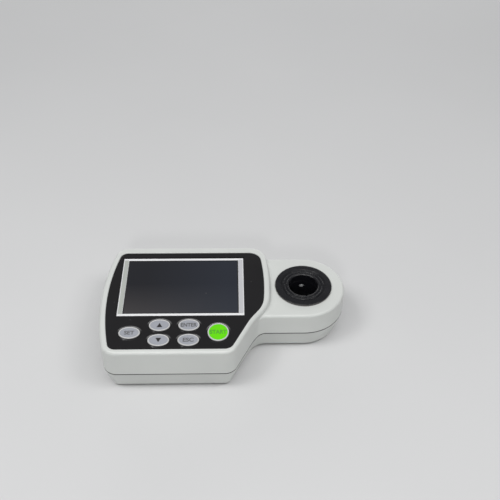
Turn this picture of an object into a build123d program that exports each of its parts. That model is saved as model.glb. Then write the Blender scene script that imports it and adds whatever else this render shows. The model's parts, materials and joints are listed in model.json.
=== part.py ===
from build123d import *
import os
from math import atan, cos, degrees, radians, sin, sqrt, tan

# Handheld optical refractometer with a sample-vial well. Millimetres, +Z up.
# Origin: bottom centre of the whole instrument. X runs from the display head to the sample lobe.

os.makedirs("parts", exist_ok=True)

# ---------------------------------------------------------------- head, seen from above
display_width = 105.5
display_depth = 69.4
display_border_side = 4.5
display_border_end = 2.3
display_margin_left = 9.7
display_margin_right = 17.6
display_margin_rear = 6.7
display_to_keys = 5.4
keys_to_fascia_edge = 3.3
rim_flank = 5.2
rim_diagonal = 3.4
rim_rear = 7.0
rim_front = 4.2
flank_radius = 231.0
left_apex_from_front = 59.7
right_apex_from_rear = 45.3
knee_from_flank = 15.2
knee_from_front = 34.5
lower_lean = 26.5
upper_lean = 36.5
corner_left_radius = 12.0
corner_rear_right_radius = 16.0
corner_front_right_radius = 11.0
knee_radius = 49.0
shoulder_radius = 30.5

# ---------------------------------------------------------------- keys
key_width = 17.2
key_depth = 12.4
start_key_depth = 18.9
key_pitch_x = 23.9
key_row_pitch = 16.1
first_key_inset = 12.4
key_proud = 0.9
start_key_proud = 1.1
key_travel = 0.8
key_hole_gap = 0.3
key_edge_radius = 0.3
key_rim_width = 1.0
key_face_recess = 0.2
key_face_thickness = 0.5
key_face_gap = 0.05
key_surround_width = 1.4
key_surround_land = 0.3
key_surround_height = 0.45
key_flange_width = 1.1
key_flange_thickness = 1.3
key_stop_gap = 0.05
key_boss_depth = 0.7
key_boss_radius = 2.6
key_switch_gap = 0.7
switch_size = 6.0
switch_height = 3.6
plunger_radius = 1.7
plunger_gap = 0.15
plunger_engagement = 1.0
switch_floor = 0.8
switch_corner = 0.4

# ---------------------------------------------------------------- sample well and its lobe
vial_bore_radius = 12.3
well_depth = 35.8
well_behind_display = 2.65
lobe_radius = 35.5
lobe_reach = 28.9
collar_radius = 24.4
collar_proud = 1.8
collar_neck_radius = 18.0
collar_neck_gap = 0.3
collar_neck_depth = 5.5
collar_bore_gap = 0.3
collar_edge_radius = 0.6
collar_shelf_radius = 18.9
collar_shelf_drop = 0.7
collar_bead_radius = 17.5
collar_bead_height = 0.6
collar_bead_flare = 0.4
collar_ridge_width = 1.4
collar_groove_depth = 0.5
collar_groove_flare = 0.3
collar_ridge_edge_radius = 0.5
collar_lip_width = 1.9
collar_mouth_radius = 1.1
collar_notch_radius = 1.1
collar_notch_angle = 8.0
ring_nut_radius = 23.0
ring_nut_height = 3.0
ring_nut_slots = 8
ring_nut_slot_size = 2.7
thread_gap = 0.05
chamber_wall = 4.0
chamber_floor = 2.6
chamber_flange_height = 3.0
chamber_web_radius = 7.6
chamber_standoff = 2.0
chamber_collar_gap = 0.2
chamber_screw_circle_radius = 19.8
oring_section_radius = 0.85
oring_circle_radius = 15.0
window_radius = 3.5
window_thickness = 1.0
lens_radius = 2.6
lens_length = 3.0
lens_dome_radius = 2.3
lens_set_back = 0.1
light_path_radius = 1.9
light_path_height = 22.0
pad_size = 10.5
pad_reach = 19.5
holder_length = 6.0
holder_size = 10.5
led_radius = 2.5
led_length = 5.5
led_dome_radius = 1.2
optics_board_width = 16.0
optics_board_height = 14.0
fit_gap = 0.1

# ---------------------------------------------------------------- shells
wall = 2.4
foot_height = 2.0
foot_radius = 5.0
foot_pocket = 0.6
foot_edge_radius = 0.8
foot_margin = 1.5
foot_from_left = 16.0
foot_from_knee = 22.0
foot_beyond_well = 2.0
head_rise = 4.2
fascia_recess = 0.8
fascia_thickness = 1.6
fascia_gap = 0.15
deck_thickness = 2.0
lobe_roof = 2.6
parting_below_lobe = 21.0
shadow_gap = 0.7
tongue_height = 2.0
tongue_thickness = 1.0
tongue_gap = 0.15
base_inset = 5.6
rim_edge_radius = 2.6
rim_inner_edge_radius = 0.7
lobe_edge_radius = 2.4
base_edge_radius = 3.0
base_lip_radius = 0.6
junction_front_radius = 10.0
junction_rear_radius = 3.0
boss_radius = 3.6
boss_board_gap = 1.4
boss_end_wall = 1.0
rib_thickness = 2.9
rib_tongue_gap = 1.0
deck_wall_step = 0.6
column_wall = 1.3
column_margin = 2.3
screw_radius = 1.4
screw_head_radius = 2.7
screw_head_height = 2.0
screw_hole_gap = 0.05
screw_clear_radius = 1.7
counterbore_radius = 3.0
counterbore_depth = 12.0
boss_rear_left_shift = 6.0
boss_rear_right_shift = 3.6
boss_front_left_shift = 4.0
boss_start_key_shift = 1.5
boss_neck_shift = 1.0
boss_tip_shift = 1.0
screw_length = 16.0
blind_hole_floor = 1.4
chamber_screw_length = 5.8
hatch_screw_length = 6.0
hatch_screw_head_height = 0.9
hatch_boss_height = 7.0

# ---------------------------------------------------------------- boards, display stack, battery
board_thickness = 1.6
display_bezel_depth = 3.5
display_bezel_sheet = 0.5
display_below_fascia = 0.3
display_gap = 0.9
display_edge_chamfer = 0.2
gasket_drop = 0.8
gasket_depth = 3.0
panel_thickness = 1.3
tray_thickness = 3.4
tray_rim = 4.0
tray_recess = 0.8
bracket_thickness = 1.5
bracket_margin = 6.0
bracket_window_side = 3.0
bracket_window_end = 6.0
bracket_rib_width = 8.0
board_wall_gap = 3.0
board_key_margin = 9.0
board_corner_radius = 4.0
board_boss_key_gap = 1.1
board_boss_left_inset = 16.0
board_boss_right_inset = 4.0
board_boss_rear_inset = 0.4
board_boss_radius = 2.6
small_screw_radius = 0.95
small_screw_head_radius = 1.9
small_screw_head_height = 1.3
small_screw_length = 5.0
small_screw_end_gap = 0.4
screw_slot_length = 1.1
screw_slot_width = 0.28
screw_slot_depth = 0.55
bracket_screw_length = 5.0
battery_length = 66.0
battery_width = 46.0
battery_height = 14.0
battery_wall = 1.6
battery_corner_radius = 3.0
battery_edge_radius = 2.0
battery_gap = 0.5
battery_shift_x = 8.0
battery_y = -2.0
hatch_ledge = 1.6
hatch_thickness = 1.4
hatch_gap = 0.2
hatch_seat_gap = 0.05
hatch_corner_radius = 2.3
hatch_screw_wall = 1.0
hatch_tab_width = 8.0
hatch_tab_reach = 1.7
hatch_tab_thickness = 1.0
hatch_tab_post = 1.2
bay_tab_room = 1.8
hatch_ear = 9.0
ridge_count = 5
ridge_pitch = 3.0
ridge_width = 1.2
ridge_length = 16.0
ridge_depth = 0.5
ridge_inset = 6.0

# ---------------------------------------------------------------- rear wall fittings
usb_width = 7.9
usb_height = 3.0
usb_depth = 6.0
usb_recess_gap = 0.3
usb_set_back = 1.0
usb_sheet = 0.4
usb_corner_radius = 0.6
usb_tongue_side = 1.5
usb_tongue_thickness = 0.7
usb_from_left = 76.0
rocker_width = 11.0
rocker_height = 4.8
rocker_gap = 0.3
rocker_frame_width = 16.0
rocker_frame_height = 8.6
rocker_frame_thickness = 1.0
rocker_frame_wall = 1.2
rocker_pocket_depth = 2.2
rocker_body_depth = 9.0
rocker_tilt = 9.0
rocker_from_left = 38.0
rocker_above_parting = 7.5
rocker_pad_margin = 0.5
rocker_pad_thickness = 1.2
rocker_pad_side = 2.0
rocker_pivot_depth = 2.0
rocker_pivot_radius = 0.8
rocker_pivot_gap = 0.05
rocker_pivot_reach = 0.4
rocker_back_wall = 2.0
rocker_back = 1.0
rocker_end_rise = 2.6
rocker_middle_rise = 1.9
rocker_back_inset = 0.4
rocker_end_inset = 0.2

# ---------------------------------------------------------------- derived places
head_width = 2 * rim_flank + display_margin_left + display_width + display_margin_right
body_length = head_width + lobe_reach + lobe_radius
key_field_depth = key_row_pitch + key_depth
fascia_depth = display_margin_rear + display_depth + display_to_keys + key_field_depth + keys_to_fascia_edge
body_depth = rim_rear + fascia_depth + rim_front

left_x = -body_length / 2
right_x = left_x + head_width
rear_y = body_depth / 2
front_y = -body_depth / 2
left_apex_y = front_y + left_apex_from_front
right_apex_y = rear_y - right_apex_from_rear
knee_x = right_x - knee_from_flank
knee_y = front_y + knee_from_front
well_x = right_x + lobe_reach

base_z = foot_height
floor_z = base_z + wall
chamber_z = floor_z + chamber_standoff
well_floor_z = chamber_z + chamber_floor
collar_top_z = well_floor_z + well_depth
lobe_top_z = collar_top_z - collar_proud
fascia_top_z = lobe_top_z + head_rise
rim_top_z = fascia_top_z + fascia_recess
fascia_z = fascia_top_z - fascia_thickness
deck_z = fascia_z - deck_thickness
lobe_roof_z = lobe_top_z - lobe_roof
parting_z = lobe_top_z - parting_below_lobe
base_top_z = parting_z - shadow_gap / 2
deck_inset = wall + deck_wall_step
upper_bottom_z = parting_z + shadow_gap / 2

display_x = left_x + rim_flank + display_margin_left + display_width / 2
display_y = rear_y - rim_rear - display_margin_rear - display_depth / 2
well_y = display_y + well_behind_display
display_top_z = fascia_top_z - display_below_fascia
display_bezel_z = display_top_z - display_bezel_depth
panel_z = display_top_z - display_bezel_sheet - panel_thickness
tray_z = panel_z - tray_thickness
bracket_z = tray_z - bracket_thickness

key_left_x = display_x - display_width / 2 + first_key_inset
key_middle_y = front_y + rim_front + keys_to_fascia_edge + key_field_depth / 2
key_places = {
    "set": (key_left_x, key_middle_y),
    "up": (key_left_x + key_pitch_x, key_middle_y + key_row_pitch / 2),
    "down": (key_left_x + key_pitch_x, key_middle_y - key_row_pitch / 2),
    "enter": (key_left_x + 2 * key_pitch_x, key_middle_y + key_row_pitch / 2),
    "esc": (key_left_x + 2 * key_pitch_x, key_middle_y - key_row_pitch / 2),
    "start": (key_left_x + 3 * key_pitch_x, key_middle_y),
}
key_flange_z = deck_z - key_stop_gap - key_flange_thickness
key_boss_z = key_flange_z - key_boss_depth
board_top_z = key_boss_z - key_travel - key_switch_gap - switch_height
board_z = board_top_z - board_thickness
plunger_z = board_top_z + switch_height - plunger_engagement
boss_top_z = board_z - boss_board_gap

board_left_x = key_left_x - board_key_margin
board_right_x = key_places["start"][0] + board_key_margin
board_front_y = front_y + wall + board_wall_gap
board_rear_y = rear_y - wall - board_wall_gap / 2
battery_x = display_x - battery_shift_x
battery_top_z = base_z + hatch_thickness + battery_height
usb_x = left_x + usb_from_left
usb_y = rear_y - usb_set_back
rocker_x = left_x + rocker_from_left
rocker_z = parting_z + rocker_above_parting
rocker_frame_y = rear_y - rocker_pocket_depth

base_taper = degrees(atan(base_inset / (base_top_z - base_z)))
housing_inset = base_inset + base_edge_radius + counterbore_radius + column_margin
housing_places = {
    "rear_left": (left_x + housing_inset + boss_rear_left_shift, rear_y - housing_inset, "rear"),
    "rear_right": (right_x - housing_inset - boss_rear_right_shift, rear_y - housing_inset, "rear"),
    "front_left": (left_x + housing_inset + boss_front_left_shift, front_y + housing_inset, "front"),
    "front_right": (key_places["start"][0] + boss_start_key_shift, front_y + housing_inset, "front"),
    "neck": (right_x - boss_neck_shift, well_y, "roof"),
    "tip": (well_x + lobe_radius - housing_inset + boss_tip_shift, well_y, "tip"),
}
chamber_screw_angles = (60, 180, 300)
chamber_places = [
    (
        well_x + chamber_screw_circle_radius * cos(radians(angle)),
        well_y + chamber_screw_circle_radius * sin(radians(angle)),
    )
    for angle in chamber_screw_angles
]
foot_inset = base_inset + base_edge_radius + foot_radius + foot_margin
foot_places = [
    (left_x + foot_inset + foot_from_left, rear_y - foot_inset),
    (left_x + foot_inset + foot_from_left, front_y + foot_inset),
    (knee_x - foot_inset - foot_from_knee, front_y + foot_inset),
    (well_x + foot_beyond_well, well_y + lobe_radius - foot_inset),
]
# The display's bracket is a tray whose ears reach up to the deck and are screwed there.
bracket_width = display_width + 2 * display_gap + 2 * bracket_margin
ear_x = display_width / 2 + display_gap + bracket_margin / 2
bracket_ears = [
    (display_x + side * ear_x, display_y + end * display_depth / 4) for side in (-1, 1) for end in (-1, 1)
]
key_to_board_boss = key_width / 2 + key_flange_width + board_boss_key_gap + board_boss_radius
board_boss_y = board_rear_y - board_boss_radius - board_boss_rear_inset
board_places = [
    (key_places["set"][0] + key_to_board_boss, key_middle_y),
    (key_places["start"][0] - key_to_board_boss, key_middle_y),
    (board_left_x + board_boss_left_inset, board_boss_y),
    (board_right_x - board_boss_right_inset, board_boss_y),
]


# ---------------------------------------------------------------- outlines
def head_outline(flank, diagonal, rear, front):
    """The head seen from above, each side moved inwards by its own amount."""
    reach = flank_radius - flank
    left_centre_x = left_x + flank_radius
    right_centre_x = right_x - flank_radius
    rear_line = rear_y - rear
    front_line = front_y + front
    middle_lean = radians((lower_lean + upper_lean) / 2)
    knee_shift = diagonal / cos(radians((upper_lean - lower_lean) / 2))
    bend_x = knee_x - knee_shift * cos(middle_lean)
    bend_y = knee_y + knee_shift * sin(middle_lean)
    rise_x = sin(radians(upper_lean))
    rise_y = cos(radians(upper_lean))
    from_centre_x = bend_x - right_centre_x
    from_centre_y = bend_y - right_apex_y
    along = from_centre_x * rise_x + from_centre_y * rise_y
    outside = from_centre_x**2 + from_centre_y**2 - reach**2
    run = sqrt(along**2 - outside) - along
    rear_left = (left_centre_x - sqrt(reach**2 - (rear_line - left_apex_y) ** 2), rear_line)
    front_left = (left_centre_x - sqrt(reach**2 - (front_line - left_apex_y) ** 2), front_line)
    front_right = (bend_x - (bend_y - front_line) * tan(radians(lower_lean)), front_line)
    knee = (bend_x, bend_y)
    shoulder = (bend_x + run * rise_x, bend_y + run * rise_y)
    rear_right = (right_centre_x + sqrt(reach**2 - (rear_line - right_apex_y) ** 2), rear_line)
    corners = (
        (rear_left, corner_left_radius - flank),
        (front_left, corner_left_radius - flank),
        (front_right, corner_front_right_radius - diagonal),
        (knee, knee_radius + diagonal),
        (shoulder, shoulder_radius - diagonal),
        (rear_right, corner_rear_right_radius - flank),
    )
    with BuildSketch() as face:
        with BuildLine():
            Line(front_left, front_right)
            Line(front_right, knee)
            Line(knee, shoulder)
            ThreePointArc(shoulder, (right_x - flank, right_apex_y), rear_right)
            Line(rear_right, rear_left)
            ThreePointArc(rear_left, (left_x + flank, left_apex_y), front_left)
        make_face()
        for place, radius in corners:
            fillet(face.vertices().sort_by_distance((place[0], place[1], 0))[0], radius)
    return face.sketch


def body_outline(inset):
    """The head joined to the sample lobe, seen from above and moved inwards by inset."""
    edge = lobe_radius - inset
    bridge = well_x - right_x + corner_rear_right_radius
    with BuildSketch() as face:
        add(head_outline(inset, inset, inset, inset))
        with Locations((well_x, well_y)):
            Circle(edge)
        with Locations((well_x - bridge / 2, well_y)):
            Rectangle(bridge, 2 * edge)
        front_corner = (right_x - lobe_reach / 3, well_y - edge, 0)
        fillet(face.vertices().sort_by_distance(front_corner)[0], junction_front_radius + inset)
        rear_corner = (right_x - 2.5, well_y + edge, 0)
        fillet(face.vertices().sort_by_distance(rear_corner)[0], junction_rear_radius + inset)
    return face.sketch


def wall_rib(place, side, low, high):
    """A gusset from a screw boss to the nearest wall, ending inside the wall."""
    x, y = place
    if side == "rear":
        centre = (x, (y + rear_y - wall / 2) / 2)
        size = (rib_thickness, rear_y - wall / 2 - y)
    elif side == "front":
        centre = (x, (y + front_y + wall / 2) / 2)
        size = (rib_thickness, y - front_y - wall / 2)
    else:
        tip_x = well_x + lobe_radius - wall / 2
        centre = ((x + tip_x) / 2, y)
        size = (tip_x - x, rib_thickness)
    with BuildSketch(Plane.XY.offset(low)) as rib:
        with Locations(centre):
            Rectangle(*size)
    return extrude(rib.sketch, amount=high - low, mode=Mode.PRIVATE)


def key_oval(name, margin=0.0):
    """Half-width and half-depth of a key's cap, with a margin all round."""
    depth = start_key_depth if name == "start" else key_depth
    return key_width / 2 + margin, depth / 2 + margin


# ---------------------------------------------------------------- upper shell
with BuildPart() as upper_shell:
    with BuildSketch(Plane.XY.offset(upper_bottom_z)):
        add(body_outline(0))
    extrude(amount=lobe_top_z - upper_bottom_z)
    fillet(upper_shell.edges().group_by(Axis.Z)[-1], lobe_edge_radius)
    with BuildSketch(Plane.XY.offset(upper_bottom_z)):
        add(head_outline(0, 0, 0, 0))
    extrude(amount=rim_top_z - upper_bottom_z)
    fillet(upper_shell.edges().group_by(Axis.Z)[-1], rim_edge_radius)
    # pocket for the fascia
    with BuildSketch(Plane.XY.offset(fascia_z)):
        add(head_outline(rim_flank, rim_diagonal, rim_rear, rim_front))
    extrude(amount=rim_top_z - fascia_z, mode=Mode.SUBTRACT)
    fillet(upper_shell.edges().group_by(Axis.Z)[-1], rim_inner_edge_radius)
    # hollow under the lobe roof, and the taller hollow under the deck
    with BuildSketch(Plane.XY.offset(upper_bottom_z)):
        add(body_outline(wall))
    extrude(amount=lobe_roof_z - upper_bottom_z, mode=Mode.SUBTRACT)
    with BuildSketch(Plane.XY.offset(lobe_roof_z)):
        add(head_outline(deck_inset, deck_inset, deck_inset, deck_inset))
    extrude(amount=deck_z - lobe_roof_z, mode=Mode.SUBTRACT)
    # seat for the lower shell's tongue
    with BuildSketch(Plane.XY.offset(upper_bottom_z)):
        add(body_outline(wall - tongue_thickness - tongue_gap))
    extrude(amount=tongue_height + tongue_gap, mode=Mode.SUBTRACT)
    # bosses
    for x, y, side in housing_places.values():
        top_z = lobe_roof_z if side == "roof" else boss_top_z
        with BuildSketch(Plane.XY.offset(parting_z)):
            with Locations((x, y)):
                Circle(boss_radius)
        extrude(amount=top_z - parting_z)
        if side != "roof":
            add(wall_rib((x, y), side, parting_z + tongue_height + rib_tongue_gap, top_z))
    with BuildSketch(Plane.XY.offset(board_top_z)):
        with Locations(*board_places):
            Circle(board_boss_radius)
    extrude(amount=deck_z - board_top_z)
    # openings in the roof
    with BuildSketch(Plane.XY.offset(lobe_roof_z)):
        with Locations((well_x, well_y)):
            Circle(collar_neck_radius + collar_neck_gap)
    extrude(amount=lobe_roof, mode=Mode.SUBTRACT)
    with BuildSketch(Plane.XY.offset(deck_z)):
        with Locations((display_x, display_y)):
            Rectangle(display_width + 2 * display_gap, display_depth + 2 * display_gap)
        for name, place in key_places.items():
            with Locations(place):
                Ellipse(*key_oval(name, key_hole_gap))
    extrude(amount=deck_thickness, mode=Mode.SUBTRACT)
    # rear wall: socket window and the rocker's pocket in a thickened pad
    with BuildSketch(Plane.XY.offset(rocker_z - rocker_frame_height / 2 - rocker_pad_margin)):
        with Locations((rocker_x, rear_y - wall)):
            Rectangle(rocker_frame_width + 2 * rocker_pad_side, 2 * rocker_pad_thickness)
    extrude(amount=rocker_frame_height + 2 * rocker_pad_margin)
    with BuildSketch(Plane.XZ.offset(-rear_y)):
        with Locations((rocker_x, rocker_z)):
            Rectangle(rocker_frame_width + 2 * fit_gap, rocker_frame_height + 2 * fit_gap)
    extrude(amount=rocker_pocket_depth, mode=Mode.SUBTRACT)
    with BuildSketch(Plane.XZ.offset(-rear_y)):
        with Locations((rocker_x, rocker_z)):
            Rectangle(
                rocker_frame_width - 2 * rocker_frame_wall + 2 * fit_gap,
                rocker_frame_height - 2 * rocker_frame_wall + 2 * fit_gap,
            )
    extrude(amount=3 * wall, mode=Mode.SUBTRACT)
    with BuildSketch(Plane.XZ.offset(-rear_y)):
        with Locations((usb_x, board_top_z + usb_height / 2)):
            Rectangle(usb_width + 2 * usb_recess_gap, usb_height + 2 * usb_recess_gap)
    extrude(amount=wall + usb_set_back, mode=Mode.SUBTRACT)
    # pilot holes
    for x, y, side in housing_places.values():
        with BuildSketch(Plane.XY.offset(parting_z)):
            with Locations((x, y)):
                Circle(screw_radius + screw_hole_gap)
        extrude(amount=boss_top_z - parting_z - boss_end_wall, mode=Mode.SUBTRACT)
    with BuildSketch(Plane.XY.offset(board_top_z)):
        with Locations(*board_places):
            Circle(small_screw_radius + screw_hole_gap)
    extrude(amount=small_screw_length, mode=Mode.SUBTRACT)
    with BuildSketch(Plane.XY.offset(deck_z)):
        with Locations(*bracket_ears):
            Circle(small_screw_radius + screw_hole_gap)
    extrude(amount=bracket_screw_length - (deck_z - bracket_z) + fit_gap, mode=Mode.SUBTRACT)
upper_shell.part.label = "upper_shell"
export_step(upper_shell.part, "parts/upper_shell.step")

# ---------------------------------------------------------------- lower shell
bay_length = battery_length + 2 * battery_gap + bay_tab_room
bay_width = battery_width + 2 * battery_gap
bay_top_z = battery_top_z + battery_gap
hatch_x = battery_x + hatch_ear / 2
hatch_length = bay_length + 2 * hatch_ledge + hatch_ear
hatch_width = bay_width + 2 * hatch_ledge
hatch_screw_x = battery_x + bay_length / 2 + battery_wall + hatch_screw_wall + hatch_ear / 2
hatch_screw_place = (hatch_screw_x, battery_y)
hatch_boss_top_z = floor_z + hatch_boss_height
ledge_z = base_z + hatch_thickness
hatch_top_z = ledge_z - hatch_seat_gap
bay_left_x = battery_x - bay_length / 2
tab_places_y = (battery_y - bay_width / 4, battery_y + bay_width / 4)
tab_left_x = bay_left_x - hatch_tab_reach
tab_right_x = bay_left_x + hatch_gap + hatch_tab_post
tab_z = floor_z + fit_gap

with BuildPart() as lower_shell:
    with BuildSketch(Plane.XY.offset(base_top_z)):
        add(body_outline(0))
    extrude(amount=-(base_top_z - base_z), taper=base_taper)
    fillet(lower_shell.edges().group_by(Axis.Z)[0], base_edge_radius)
    fillet(lower_shell.edges().group_by(Axis.Z)[-1], base_lip_radius)
    with BuildSketch(Plane.XY.offset(base_top_z)):
        add(body_outline(wall))
    extrude(amount=-(base_top_z - floor_z), taper=base_taper, mode=Mode.SUBTRACT)
    # tongue that enters the upper shell
    with BuildSketch(Plane.XY.offset(base_top_z - tongue_thickness)):
        add(body_outline(wall - tongue_thickness))
    extrude(amount=tongue_thickness + shadow_gap + tongue_height)
    with BuildSketch(Plane.XY.offset(base_top_z)):
        add(body_outline(wall))
    extrude(amount=shadow_gap + tongue_height, mode=Mode.SUBTRACT)
    with BuildSketch(Plane.XY.offset(base_top_z)):
        add(body_outline(wall))
    extrude(amount=-(base_top_z - floor_z), taper=base_taper, mode=Mode.SUBTRACT)
    # screw columns
    for x, y, side in housing_places.values():
        with BuildSketch(Plane.XY.offset(floor_z - wall / 2)):
            with Locations((x, y)):
                Circle(counterbore_radius + column_wall)
        extrude(amount=parting_z - floor_z + wall / 2)
    with BuildSketch(Plane.XY.offset(floor_z - wall / 2)):
        with Locations(*chamber_places):
            Circle(boss_radius)
    extrude(amount=chamber_standoff + wall / 2)
    # battery bay: a box open at the underside, with a ledge for its hatch
    with BuildSketch(Plane.XY.offset(floor_z - wall / 2)):
        with Locations((battery_x, battery_y)):
            Rectangle(bay_length + 2 * battery_wall, bay_width + 2 * battery_wall)
    extrude(amount=bay_top_z + battery_wall - floor_z + wall / 2)
    with BuildSketch(Plane.XY.offset(floor_z - wall / 2)):
        with Locations(hatch_screw_place):
            Circle(boss_radius)
    extrude(amount=hatch_boss_top_z - floor_z + wall / 2)
    with BuildSketch(Plane.XY.offset(base_z)):
        with Locations((battery_x, battery_y)):
            Rectangle(bay_length, bay_width)
    extrude(amount=bay_top_z - base_z, mode=Mode.SUBTRACT)
    with BuildSketch(Plane.XY.offset(base_z)):
        with Locations((hatch_x, battery_y)):
            RectangleRounded(
                hatch_length + 2 * hatch_gap, hatch_width + 2 * hatch_gap, hatch_corner_radius + hatch_gap
            )
    extrude(amount=hatch_thickness, mode=Mode.SUBTRACT)
    # pockets for the two hatch tabs, cut into the bay's end wall
    with BuildSketch(Plane.XY.offset(floor_z)):
        with Locations(*[(bay_left_x - hatch_tab_reach / 2, tab_y) for tab_y in tab_places_y]):
            Rectangle(hatch_tab_reach + 2 * hatch_gap, hatch_tab_width + 2 * hatch_gap)
    extrude(amount=hatch_tab_thickness + 2 * hatch_gap, mode=Mode.SUBTRACT)
    # holes for screws, and pockets for the feet
    for x, y, side in housing_places.values():
        with BuildSketch(Plane.XY.offset(base_z)):
            with Locations((x, y)):
                Circle(counterbore_radius)
        extrude(amount=counterbore_depth, mode=Mode.SUBTRACT)
        with BuildSketch(Plane.XY.offset(base_z)):
            with Locations((x, y)):
                Circle(screw_clear_radius)
        extrude(amount=parting_z - base_z, mode=Mode.SUBTRACT)
    with BuildSketch(Plane.XY.offset(base_z + blind_hole_floor)):
        with Locations(*chamber_places):
            Circle(screw_radius + screw_hole_gap)
    extrude(amount=chamber_z - base_z - blind_hole_floor, mode=Mode.SUBTRACT)
    with BuildSketch(Plane.XY.offset(base_z)):
        with Locations(hatch_screw_place):
            Circle(screw_radius + screw_hole_gap)
    extrude(amount=hatch_boss_top_z - base_z - boss_end_wall, mode=Mode.SUBTRACT)
    with BuildSketch(Plane.XY.offset(base_z)):
        with Locations(*foot_places):
            Circle(foot_radius + fit_gap)
    extrude(amount=foot_pocket, mode=Mode.SUBTRACT)
lower_shell.part.label = "lower_shell"
export_step(lower_shell.part, "parts/lower_shell.step")

with BuildPart() as rubber_feet:
    with BuildSketch(Plane.XY):
        with Locations(*foot_places):
            Circle(foot_radius)
    extrude(amount=foot_height + foot_pocket)
    fillet(rubber_feet.edges().group_by(Axis.Z)[0], foot_edge_radius)
rubber_feet.part.label = "rubber_feet"
export_step(rubber_feet.part, "parts/rubber_feet.step")

with BuildPart() as battery_hatch:
    with BuildSketch(Plane.XY.offset(base_z)):
        with Locations((hatch_x, battery_y)):
            RectangleRounded(hatch_length, hatch_width, hatch_corner_radius)
    extrude(amount=hatch_top_z - base_z)
    with BuildSketch(Plane.XY.offset(hatch_top_z)):
        with Locations(*[(tab_right_x - hatch_tab_post / 2, tab_y) for tab_y in tab_places_y]):
            Rectangle(hatch_tab_post, hatch_tab_width)
    extrude(amount=tab_z + hatch_tab_thickness - hatch_top_z)
    with BuildSketch(Plane.XY.offset(tab_z)):
        with Locations(*[((tab_left_x + tab_right_x) / 2, tab_y) for tab_y in tab_places_y]):
            Rectangle(tab_right_x - tab_left_x, hatch_tab_width)
    extrude(amount=hatch_tab_thickness)
    with BuildSketch(Plane.XY.offset(base_z)):
        with Locations(hatch_screw_place):
            Circle(screw_clear_radius)
    extrude(amount=hatch_thickness, mode=Mode.SUBTRACT)
    # finger ridges
    with BuildSketch(Plane.XY.offset(base_z)):
        with Locations((bay_left_x + ridge_inset, battery_y)):
            with GridLocations(ridge_pitch, 0, ridge_count, 1, align=(Align.MIN, Align.CENTER)):
                RectangleRounded(ridge_width, ridge_length, 0.4 * ridge_width)
    extrude(amount=ridge_depth, mode=Mode.SUBTRACT)
battery_hatch.part.label = "battery_hatch"
export_step(battery_hatch.part, "parts/battery_hatch.step")


def screw_solid(place, under_head_z, length, up, shank_radius, head_radius, head_height):
    """A pan-head screw. up is +1 when the shank points up from the head, -1 when it points down."""
    with BuildPart() as screw:
        with BuildSketch(Plane.XY.offset(under_head_z)):
            with Locations(place):
                Circle(head_radius)
        extrude(amount=-up * head_height)
        with BuildSketch(Plane.XY.offset(under_head_z)):
            with Locations(place):
                Circle(shank_radius)
        extrude(amount=up * length)
        slot_z = under_head_z - up * head_height
        with BuildSketch(Plane.XY.offset(slot_z)):
            with Locations(place):
                Rectangle(head_radius * screw_slot_length, head_radius * screw_slot_width)
                Rectangle(head_radius * screw_slot_width, head_radius * screw_slot_length)
        extrude(amount=up * head_height * screw_slot_depth, mode=Mode.SUBTRACT)
    return screw.part


# ---------------------------------------------------------------- battery
with BuildPart() as battery_pack:
    with BuildSketch(Plane.XY.offset(ledge_z)):
        with Locations((battery_x + bay_tab_room / 2, battery_y)):
            RectangleRounded(battery_length, battery_width, battery_corner_radius)
    extrude(amount=battery_height)
    fillet(battery_pack.edges().group_by(Axis.Z)[-1], battery_edge_radius)
battery_pack.part.label = "battery_pack"
export_step(battery_pack.part, "parts/battery_pack.step")

# ---------------------------------------------------------------- fascia
with BuildPart() as fascia_panel:
    with BuildSketch(Plane.XY.offset(fascia_z)):
        add(
            head_outline(
                rim_flank + fascia_gap,
                rim_diagonal + fascia_gap,
                rim_rear + fascia_gap,
                rim_front + fascia_gap,
            )
        )
        with Locations((display_x, display_y)):
            Rectangle(display_width + 2 * display_gap, display_depth + 2 * display_gap, mode=Mode.SUBTRACT)
    extrude(amount=fascia_thickness)
    # a low sloping surround round each key, then the key's hole through it
    for name, place in key_places.items():
        with BuildSketch(Plane.XY.offset(fascia_top_z)):
            with Locations(place):
                Ellipse(*key_oval(name, key_hole_gap + key_surround_width))
        with BuildSketch(Plane.XY.offset(fascia_top_z + key_surround_height)):
            with Locations(place):
                Ellipse(*key_oval(name, key_hole_gap + key_surround_land))
        loft()
        with BuildSketch(Plane.XY.offset(fascia_z)):
            with Locations(place):
                Ellipse(*key_oval(name, key_hole_gap))
        extrude(amount=fascia_thickness + key_surround_height, mode=Mode.SUBTRACT)
fascia_panel.part.label = "fascia_panel"
export_step(fascia_panel.part, "parts/fascia_panel.step")

# ---------------------------------------------------------------- display stack
view_width = display_width - 2 * display_border_side
view_depth = display_depth - 2 * display_border_end
inner_width = display_width - 2 * display_bezel_sheet
inner_depth = display_depth - 2 * display_bezel_sheet

with BuildPart() as display_bezel:
    with BuildSketch(Plane.XY.offset(display_bezel_z)):
        with Locations((display_x, display_y)):
            Rectangle(display_width, display_depth)
    extrude(amount=display_bezel_depth)
    with BuildSketch(Plane.XY.offset(display_bezel_z)):
        with Locations((display_x, display_y)):
            Rectangle(inner_width, inner_depth)
    extrude(amount=display_bezel_depth - display_bezel_sheet, mode=Mode.SUBTRACT)
    with BuildSketch(Plane.XY.offset(display_bezel_z)):
        with Locations((display_x, display_y)):
            Rectangle(view_width, view_depth)
    extrude(amount=display_bezel_depth, mode=Mode.SUBTRACT)
    chamfer(display_bezel.edges().group_by(Axis.Z)[-1], display_edge_chamfer)
display_bezel.part.label = "display_bezel"
export_step(display_bezel.part, "parts/display_bezel.step")

with BuildPart() as display_panel:
    with BuildSketch(Plane.XY.offset(panel_z)):
        with Locations((display_x, display_y)):
            Rectangle(inner_width - 2 * fit_gap, inner_depth - 2 * fit_gap)
    extrude(amount=panel_thickness)
display_panel.part.label = "display_panel"
export_step(display_panel.part, "parts/display_panel.step")

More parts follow.
